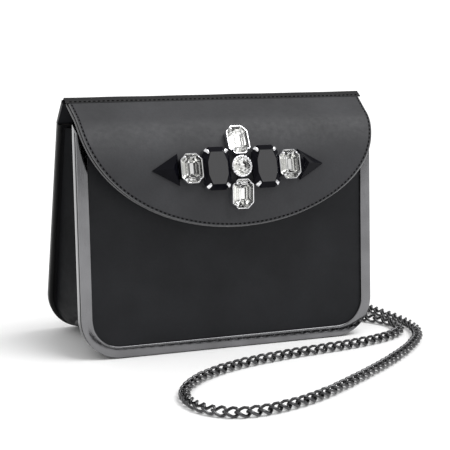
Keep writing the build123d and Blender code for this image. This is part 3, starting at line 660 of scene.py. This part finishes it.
def ridge_strip():
    """Leather strip sewn over the ridge: straight up the yoke, an arc round the hinge line and
    straight down the flap, lifted by the waver along its length."""
    rear_reach, front_reach = 4.6, 4.9
    turn = np.linspace(np.arctan2(-YOKE_SLOPE[0], YOKE_SLOPE[1]), pi / 2 + FLAP_HEADING, 12)
    hinge = np.array([HINGE_Y, HINGE_Z])
    arc = hinge + RIDGE_R * np.stack([np.cos(turn), np.sin(turn)], axis=-1)
    down_yoke = -YOKE_SLOPE
    down_flap = np.array([-cos(FLAP_HEADING), -sin(FLAP_HEADING)])
    rear = arc[0] + down_yoke * np.linspace(rear_reach, 0.4, 8)[:, None]
    front = arc[-1] + down_flap * np.linspace(0.4, front_reach, 8)[:, None]
    outer = np.concatenate([rear, arc, front])
    ahead = unit(np.gradient(outer, axis=0))
    inward = np.stack([-ahead[:, 1], ahead[:, 0]], axis=-1)
    inner = outer + inward * RIDGE_T
    x = np.concatenate([[-101.2, -100.9], np.linspace(-100, 100, 90), [100.9, 101.2]])
    grids = []
    for line in (outer, inner):
        spread = np.stack(np.broadcast_arrays(x[None, :], line[:, :1], line[:, 1:]), axis=-1).copy()
        spread[..., 2] += ridge_waver(x)
        grids.append(spread)
    points, faces = board(grids[0], grids[1], 0.6)
    length = np.concatenate([[0], np.cumsum(np.linalg.norm(np.diff(outer, axis=0), axis=1))])
    inset = np.broadcast_to((length[-1] - length)[:, None], grids[0].shape[:2])
    strip = piece("ridge_strip", points, faces, [RIDGE_LEATHER], inset=padded(inset, len(points)))
    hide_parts("ridge_roll")
    return strip, outer, down_flap


def ridge():
    """The strip over the ridge and its front seam, which goes with the flap."""
    strip, outer, down_flap = ridge_strip()
    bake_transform(strip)
    x = np.linspace(-99.8, 99.8, 200)
    spot = outer[-1] - down_flap * RIDGE_SEAM
    line = np.stack(np.broadcast_arrays(x, spot[0], spot[1] + ridge_waver(x)), -1)
    normal = np.array([0, -sin(FLAP_HEADING), cos(FLAP_HEADING)])
    seam = stitch_row("ridge_stitches", line, np.broadcast_to(normal, line.shape), THREAD)
    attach(seam, "flap")


# ---- front -----------------------------------------------
def front():
    """Metal rail round the front, the dark leather edge let into its side, and the panel."""
    lip, wall = FRAME_BAND, FRAME_T
    groove_near, groove_far, groove_in = 1.15, 3.7, 0.25
    corners = [(0, 0), (lip, 0), (lip, FRAME_T), (wall, FRAME_T), (wall, FRAME_DEPTH), (0, FRAME_DEPTH),
               (0, groove_far), (groove_in, groove_far), (groove_in, groove_near), (0, groove_near)]
    radii = [0.5, 0.45, 0.3, 0.2, 0.3, 0.4, 0.1, 0.05, 0.05, 0.25]
    rail = piece("frame_rail", *u_rail(corners, radii, BAG_HALF_W, FRAME_R, FRAME_H, on_front,
                                       FRAME_RISE / FRAME_DEPTH), [GUNMETAL], 40.0)
    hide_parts("front_frame")
    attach(rail, "front")
    out, deep, near, far = 0.12, 0.6, groove_near + 0.05, groove_far - 0.05
    corners = [(out, near), (deep, near), (deep, far), (out, far)]
    inlay = piece("frame_edge_leather", *u_rail(corners, [0.1, 0.05, 0.05, 0.1], BAG_HALF_W, FRAME_R,
                                               FRAME_H - 0.3, on_front), [UNDER_LEATHER], 60.0)
    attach(inlay, "front")
    front_panel()


def front_panel():
    """Leather over board: flat, with a swell of 0.12 mm times a slow sine across and another up. Its
    lower corners are quarter circles, and its rows stand closer together lower down."""
    edge, top = 1.5, FRAME_H - 0.9
    across = np.linspace(-1, 1, 61)
    up = np.linspace(0, 1, 51)
    half, radius = BAG_HALF_W - edge, FRAME_R - edge
    z = edge + (top - edge) * up ** 1.6
    low = np.clip(edge + radius - z, 0, None)
    width = half - radius + np.sqrt(np.clip(radius ** 2 - low ** 2, 0, None))
    x = across[None, :] * width[:, None]
    z = np.broadcast_to(z[:, None], x.shape)
    swell = 0.12 * np.sin(x / 31.0) * np.sin(z / 43.0 + 0.6)
    outer = on_front(x, PANEL_DEPTH + 0.15 + swell, z)
    inner = on_front(x, PANEL_DEPTH + 2.6, z)
    panel = piece("front_panel_leather", *board(outer, inner, 0.3), [PANEL_LEATHER])
    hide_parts("front_leather", "front_board")
    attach(panel, "front")


# ---- back ------------------------------------------------
def back():
    """Bound edge of the back panel, its seam, and the seams that hold the strap tabs."""
    near, far = -BINDING_PROUD, BACK_STACK + BINDING_PROUD
    corners = [(0, near), (BINDING_W, near), (BINDING_W, far), (0, far)]
    binding = piece("back_binding_roll", *u_rail(corners, [1.1, 0.35, 0.35, 1.1], BACK_HALF_W, BACK_R,
                                                BACK_H, on_back), [EDGE_LEATHER], 50.0)
    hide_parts("back_binding")
    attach(binding, "shell")
    seam_end, seam_in, proud = 3.0, 2.2, 0.05
    line = u_line(BACK_HALF_W, BACK_R, BACK_H - seam_end, BINDING_W + seam_in, 60)
    seam = on_back(line[:, 0], -proud, line[:, 1])
    normal = np.broadcast_to([0, cos(BACK_LEAN), sin(BACK_LEAN)], seam.shape)
    sewn = stitch_row("back_stitches", seam, normal, THREAD)
    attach(sewn, "shell")
    half, high, low = 4.3, TAB_HIGH - 1.7, TAB_LOW + 9
    corners = np.array([(-half, high), (half, high), (half, low), (-half, low), (-half, high)])
    for side, x in (("left", -RING_X), ("right", RING_X)):
        box = on_back(corners[:, 0] + x, -TAB_T - proud, corners[:, 1])
        sewn = stitch_row("tab_stitches_" + side, box, np.broadcast_to(normal[0], box.shape), THREAD,
                          pitch=2.4, length=1.7)
        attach(sewn, "shell")


# ---- sides and base --------------------------------------
def gusset(side, sign):
    """Folded side of the bag: a strip that runs down the side and round the lower corner. Across
    it goes from the front seam to the back seam, and it folds inward by fold (1 - root of q squared
    plus a small square), with q from -1 at the front to 1 at the back. The fold is shallower lower
    down, and two small sines along the run make it uneven."""
    q = np.concatenate([[-1, -0.985], np.linspace(-0.95, 0.95, 41), [0.985, 1]])[None, :]
    run_end, seam_gap = 151.0, 0.45
    run = np.concatenate([[0, 0.3], np.linspace(1.5, run_end, 90)])[:, None]
    straight = GUSSET_TOP - GUSSET_R - 0.3
    turn = np.clip((run - straight) / GUSSET_R, 0, pi / 2)
    flat = np.clip(run - straight - GUSSET_R * pi / 2, 0, None)
    down = np.minimum(run, straight)
    out_x = GUSSET_OUT - GUSSET_R + GUSSET_R * np.cos(turn) - flat
    z = GUSSET_TOP - down - GUSSET_R * np.sin(turn)
    height = np.clip((z - 12) / 60, 0, 1)
    fold = 7.5 + 3.0 * height ** 2 * (3 - 2 * height) + 0.6 * np.sin(run / 17.0)
    soft = 0.16
    crease = (1 - np.sqrt(q ** 2 + soft ** 2)) / (1 - soft)
    crease = crease + (1 - np.abs(q)) * 0.06 * np.sin(run / 11.0 + 2 * q)
    grids = []
    for depth in (0.0, GUSSET_T):
        inward = fold * crease + depth
        x = sign * (out_x - inward * np.cos(turn))
        zz = z + inward * np.sin(turn)
        near = FRONT_Y + (zz - FRONT_LIFT) * tan(FRONT_LEAN) + (FRAME_DEPTH + seam_gap) / cos(FRONT_LEAN)
        far = BACK_Y - (zz - BACK_LIFT) * tan(BACK_LEAN) - (BACK_STACK + 0.5) / cos(BACK_LEAN)
        y = (near + far) / 2 + q * (far - near) / 2
        grids.append(np.stack(np.broadcast_arrays(x, y, zz), axis=-1))
    points, faces = board(grids[0], grids[1], 0.3)
    sheet = piece("gusset_sheet_" + side, points, faces, [GUSSET_LEATHER])
    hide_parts("gusset_" + side)
    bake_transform(sheet)


# ---- jewels ----------------------------------------------
def seat(x, s):
    """Turns points on a flat seat (across, up the flap, out of the leather) into the bag's frame."""
    y, z, heading = flap_spot(s)
    axes = np.array([(1, 0, 0), (0, cos(heading), sin(heading)), (0, -sin(heading), cos(heading))])
    return lambda points: np.asarray(points, float) @ axes + np.array([x, y, z])


def octagon(width, height, cut, inset):
    """Corners of a rectangle with cut corners, drawn in by inset. The cut shrinks by 0.6 of the inset."""
    w, h, c = width / 2 - inset, height / 2 - inset, max(cut - 0.6 * inset, 0.3)
    return np.array([(w - c, -h), (w, -h + c), (w, h - c), (w - c, h),
                     (-w + c, h), (-w, h - c), (-w, -h + c), (-w + c, -h)])


def rings_of(levels):
    """Points and faces through closed outlines of one length at rising heights, capped flat."""
    rings = np.stack([np.column_stack([outline, np.full(len(outline), z)]) for z, outline in levels])
    rows, cols = rings.shape[:2]
    faces = grid_faces(rows, cols, close_cols=True)
    last = (rows - 1) * cols
    return rings.reshape(-1, 3), faces + [list(range(cols)), list(range(last, last + cols))]


def gem(name, place, levels, backs):
    """A cut stone. backs names the silvering of each band from the keel up, 0 for clear glass,
    1 for bright foil and 2 for dark foil that paints the dark reflections of cut facets; bands above
    them are clear, and the keel is bright."""
    points, faces = rings_of(levels)
    cols = len(levels[0][1])
    bands = np.zeros(len(levels) - 1, int)
    bands[:len(backs)] = backs
    kinds = np.concatenate([np.repeat(bands, cols), [1, 0]])
    stone = piece(name, place(points), faces, [CRYSTAL, FOIL, PAINTED_DARK_FACETS], crease=1.0, face_material=kinds)
    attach(stone, "flap")
    return stone


def claw(place, middle, outward, low, top, claw_w, reach, thick=0.75):
    """A claw: a rounded bar that stands at middle, leans in over the stone and ends in a rounded
    tip. Its line is straight up to the knee, then a quarter of an ellipse inward. Its section is
    cos and sin of the angle, each raised to a power that squares it off, and it tapers to the tip."""
    outward = np.array([*outward, 0.0])
    side = np.array([-outward[1], outward[0], 0.0])
    base = np.array([*middle, 0.0])
    bend = np.linspace(0, pi / 2, 7)
    rise = top - low
    knee = 0.55
    bent = np.stack([-reach * (1 - np.cos(bend)),
                     low + knee * rise + (1 - knee) * rise * np.sin(bend)], axis=-1)
    line = np.concatenate([[[0, low], [0, low + knee * rise]], bent[1:]])
    ahead = unit(np.gradient(line, axis=0))
    normal = np.stack([ahead[:, 1], -ahead[:, 0]], axis=-1)
    taper = np.array([1, 1, 1, 1, 0.98, 0.92, 0.8, 0.55])[:, None]
    around = np.linspace(0, 2 * pi, 10, endpoint=False)[None, :]
    power = 0.65
    flat = np.sign(np.cos(around)) * np.abs(np.cos(around)) ** power * claw_w / 2 * taper
    proud = np.sign(np.sin(around)) * np.abs(np.sin(around)) ** power * thick / 2 * taper
    across_line = line[:, None, 0] + normal[:, None, 0] * proud
    height = line[:, None, 1] + normal[:, None, 1] * proud
    up = np.array([0, 0, 1])
    points = base + outward * across_line[..., None] + side * flat[..., None] + up * height[..., None]
    rows, cols = points.shape[:2]
    faces = grid_faces(rows, cols, close_cols=True)
    faces += [list(range(cols)), list(range((rows - 1) * cols, rows * cols))]
    return place(points.reshape(-1, 3)), faces


def joined(name, parts, materials, crease=50.0):
    """Several closed shapes as one piece."""
    points, faces, first = [], [], 0
    for part_points, part_faces in parts:
        points.append(part_points)
        faces += [[corner + first for corner in face] for face in part_faces]
        first += len(part_points)
    return piece(name, np.concatenate(points), faces, materials, crease)


def corner_claws(place, width, height, cut, low, top, **sizes):
    """Four claws at the cut corners of a stone, each facing squarely out of its facet."""
    stand_off = 0.45
    made = []
    for sx in (-1, 1):
        for sy in (-1, 1):
            outward = np.array([sx, sy]) / sqrt(2)
            middle = np.array([sx * (width / 2 - cut / 2), sy * (height / 2 - cut / 2)]) + outward * stand_off
            made.append(claw(place, middle, outward, low, top, **sizes))
    return made


def crystal(name, x, s):
    """Step-cut crystal with a silvered back, in an open cup with four claws. Steps and wall are
    heights over the leather, each with how far the octagon is drawn in there."""
    place = seat(x, s)
    steps = [(1.2, 5.4), (1.35, 5.1), (2.0, 3.8), (2.15, 3.5), (2.9, 2.2), (3.1, 1.85), (3.8, 0.7),
             (4.4, 0.0), (4.9, 0.0), (5.8, 0.8), (6.6, 1.75), (7.2, 2.9)]
    levels = [(z, octagon(CRYSTAL_W - 0.1, CRYSTAL_H - 0.1, CRYSTAL_CUT, inset)) for z, inset in steps]
    # The back bands alternate bright foil with dark foil that paints the dark facet reflections.
    stone = gem("crystal_stone_" + name, place, levels, (2, 1, 2, 1, 2, 1, 1))
    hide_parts("crystal_" + name)
    wall = [(0.15, -0.1), (0.15, -CUP_WALL), (4.3, -CUP_WALL), (4.75, -0.45), (4.75, -0.12), (3.6, 0.3),
            (1.0, 3.4), (0.9, 3.4)]
    rows = np.stack([np.column_stack([octagon(CRYSTAL_W, CRYSTAL_H, CRYSTAL_CUT, inset), np.full(8, z)])
                     for z, inset in wall])
    cup = (place(rows.reshape(-1, 3)), grid_faces(len(wall), 8, close_rows=True, close_cols=True))
    claws = corner_claws(place, CRYSTAL_W, CRYSTAL_H, CRYSTAL_CUT, 0.4, 6.5, claw_w=1.5, reach=1.5)
    metal_work = joined("crystal_cup_" + name, [cup] + claws, [SILVER])
    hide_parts("crystal_setting_" + name)
    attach(metal_work, "flap")


def black_octagon(name, x, s):
    """Large black stone with a barrel-shaped table, on a plate with four bright claws."""
    place = seat(x, s)
    waist, end, shoulder, top = 0.36 * BLACK_W, 0.24 * BLACK_W, 0.15 * BLACK_H, 0.375 * BLACK_H
    table = np.array([(end, -top), (waist, -shoulder), (waist, shoulder), (end, top),
                      (-end, top), (-waist, shoulder), (-waist, -shoulder), (-end, -top)])
    size = BLACK_W, BLACK_H, BLACK_CUT
    low = [(z, octagon(*size, inset)) for z, inset in ((1.25, 2.2), (3.2, 0.05), (4.1, 0.05))]
    stone_points, faces = rings_of(low + [(6.5, table * 1.02), (6.6, table * 0.985)])
    kinds = np.ones(len(faces), int)
    kinds[-1] = 0
    stone = piece("black_octagon_" + name, place(stone_points), faces, [JET, JET_SIDE], 1.0, None, kinds)
    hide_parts("black_stone_" + name)
    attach(stone, "flap")
    plate_points, plate_faces = rings_of([(0.15, octagon(*size, 1.2)), (1.2, octagon(*size, 1.0))])
    plate = (place(plate_points), plate_faces)
    claws = corner_claws(place, *size, 0.3, 5.9, claw_w=2.4, reach=3.0, thick=1.0)
    metal_work = joined("black_claws_" + name, [plate] + claws, [SILVER])
    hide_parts("black_setting_" + name)
    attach(metal_work, "flap")


def round_crystal():
    """Brilliant-cut round stone in a rope bezel. The rope is a ring of wire. Its radius is the wire's
    times 1 plus 0.22 times a cosine, of twice the angle round the wire plus 22 times the angle
    round the ring."""
    place = seat(0, JEWEL_S)
    corner = np.arange(16)
    turn, snapped = corner * pi / 8, (corner // 2) * pi / 4 + pi / 8
    even = corner % 2 == 0

    def ring(r, at=turn):
        return np.column_stack([r * np.cos(at), r * np.sin(at)])

    levels = [(1.3, ring(1.0, snapped)), (2.9, ring(np.where(even, 3.6, 3.9))), (4.4, ring(5.9)),
              (4.8, ring(5.9)), (5.9, ring(np.where(even, 5.0, 4.6))), (6.7, ring(3.5, snapped))]
    stone = gem("round_crystal", place, levels, (1, 1))
    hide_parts("stone_round")
    stops, sides = 120, 10
    wire_r, rope_r, rope_z = 0.62, 6.25, 4.9
    around = np.linspace(0, 2 * pi, stops, endpoint=False)[:, None]
    tube = np.linspace(0, 2 * pi, sides, endpoint=False)[None, :]
    thick = wire_r * (1 + 0.22 * np.cos(2 * tube + 22 * around))
    reach = rope_r + thick * np.cos(tube)
    rope = np.stack(np.broadcast_arrays(reach * np.cos(around), reach * np.sin(around),
                                        rope_z + thick * np.sin(tube)), -1)
    profile = np.array([(6.5, 0.15), (6.6, 4.6), (6.0, 4.8), (5.6, 3.9), (1.4, 1.0), (1.4, 0.2)])
    bowl = np.stack(np.broadcast_arrays(profile[:, 0] * np.cos(around), profile[:, 0] * np.sin(around),
                                        profile[:, 1] + 0 * around), -1)
    shapes = [(place(grid.reshape(-1, 3)), grid_faces(*grid.shape[:2], close_rows=True, close_cols=True))
              for grid in (rope, bowl)]
    bezel = joined("round_bezel", shapes, [SILVER])
    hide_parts("setting_round")
    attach(bezel, "flap")


def spike(name, sign, x):
    """Three-sided black pyramid with a low skirt and a small flat along each lower edge."""
    place = seat(x, JEWEL_S)
    ground = np.array([(0, -SPIKE_HALF_H), (SPIKE_LONG, 0), (0, SPIKE_HALF_H)]) * (sign, 1)
    centre = np.array([SPIKE_PEAK * sign, 0])
    levels = [(0.15, ground), (0.9, ground), (1.3, centre + (ground - centre) * 0.955),
              (SPIKE_TOP, centre + (ground - centre) * 0.012)]
    points, faces = rings_of(levels)
    stone = piece("spike_stone_" + name, place(points), faces, [JET_SIDE], crease=1.0)
    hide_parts("spike_" + name)
    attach(stone, "flap")


def jewels():
    """The whole group: up and down from the round stone, then out to both sides."""
    up = ROUND_R + 2 * CUP_WALL + CRYSTAL_H / 2 + JEWEL_GAP
    black_x = CRYSTAL_W / 2 + CUP_WALL + BLACK_W / 2 + JEWEL_GAP
    side_x = black_x + BLACK_W / 2 + CUP_WALL + CRYSTAL_W / 2 + JEWEL_GAP
    spike_x = side_x + CRYSTAL_W / 2 + CUP_WALL + JEWEL_GAP
    round_crystal()
    for name, x, s in (("top", 0, JEWEL_S - up), ("bottom", 0, JEWEL_S + up),
                       ("left", -side_x, JEWEL_S), ("right", side_x, JEWEL_S)):
        crystal(name, x, s)
    for name, sign in (("left", -1), ("right", 1)):
        black_octagon(name, sign * black_x, JEWEL_S + BLACK_DROP)
        spike(name, sign, sign * spike_x)


# ---- model's own nodes that stay -------------------------
def finish_nodes():
    """Materials on the model's own nodes, by the record's slots."""
    by_slot = {"panel_leather": PANEL_LEATHER, "flap_leather": EDGE_LEATHER, "edge_leather": EDGE_LEATHER,
               "lining": LINING, "board": BOARD, "gunmetal": GUNMETAL, "fittings": FITTING_METAL,
               "settings": SILVER, "clear_stone": CRYSTAL, "black_stone": JET}
    for part in frame["record"]["subparts"]:
        mesh = frame["nodes"][part["node"]].data
        mesh.materials.clear()
        mesh.materials.append(by_slot[part["material_slot"]])


# ---- surroundings ----------------------------------------
def floor():
    """Plain pale floor, far enough out to fill the view."""
    made = Finish("floor_paint", Roughness=0.6)
    made.feed("Base Color", made.tint(made.noise(3.0, 2.0), (0.93, 0.93, 0.93), (0.95, 0.95, 0.95)))
    reach = 30000.0
    corners = [(-reach, -reach, 0), (reach, -reach, 0), (reach, reach, 0), (-reach, reach, 0)]
    ground = piece("floor", np.array(corners), [[0, 1, 2, 3]], [made.material])


def lighting():
    """Pale surroundings, brighter above, and one broad soft light from the upper right."""
    world = bpy.data.worlds.new("studio")
    world.use_nodes = True
    nodes, links = world.node_tree.nodes, world.node_tree.links
    nodes["Background"].inputs["Color"].default_value = (1, 1, 1, 1)
    way = nodes.new("ShaderNodeSeparateXYZ")
    links.new(nodes.new("ShaderNodeTexCoord").outputs["Generated"], way.inputs[0])
    rise = nodes.new("ShaderNodeMapRange")
    for key, value in (("From Min", 0.0), ("From Max", 0.9), ("To Min", 0.6), ("To Max", 0.95)):
        rise.inputs[key].default_value = value
    links.new(way.outputs["Z"], rise.inputs["Value"])
    links.new(rise.outputs["Result"], nodes["Background"].inputs["Strength"])
    bpy.context.scene.world = world
    lamp = bpy.data.lights.new("soft_key", "SUN")
    lamp.energy, lamp.angle = 1.9, radians(38)
    holder = bpy.data.objects.new("soft_key", lamp)
    holder.rotation_mode = "QUATERNION"
    holder.rotation_quaternion = Vector((-0.42, 0.38, -1.0)).to_track_quat("-Z", "Y")
    bpy.context.scene.collection.objects.link(holder)
    bpy.context.scene.view_settings.view_transform = "Standard"


flap()
ridge()
front()
back()
gusset("left", -1)
gusset("right", 1)
jewels()
finish_nodes()
floor()
lighting()
